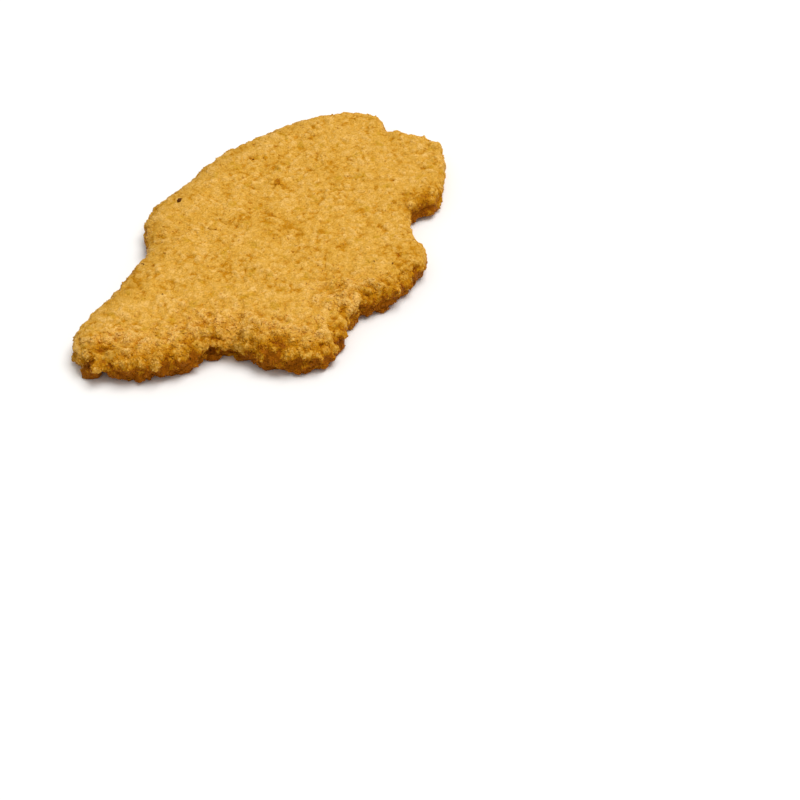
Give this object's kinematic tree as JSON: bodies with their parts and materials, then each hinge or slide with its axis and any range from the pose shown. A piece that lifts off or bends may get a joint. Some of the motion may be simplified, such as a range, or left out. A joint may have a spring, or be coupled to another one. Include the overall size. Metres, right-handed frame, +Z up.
{
  "type": "breaded schnitzel",
  "caption": "Flat, lobed breaded meat cutlet with a narrow tip, a broad head and a notched front edge, lying on its flat underside.",
  "frame": {"origin": "middle of the bounding box, on the flat underside", "axes": "+X along the piece from its narrow tip to its broad head, +Y across it towards the long back edge, +Z up through its thickness"},
  "size_m": [0.172, 0.1106, 0.0112],
  "materials": {
    "crust": "matte"
  },
  "bodies": {
    "root": {"schnitzel": "crust"}
  },
  "joints": []
}
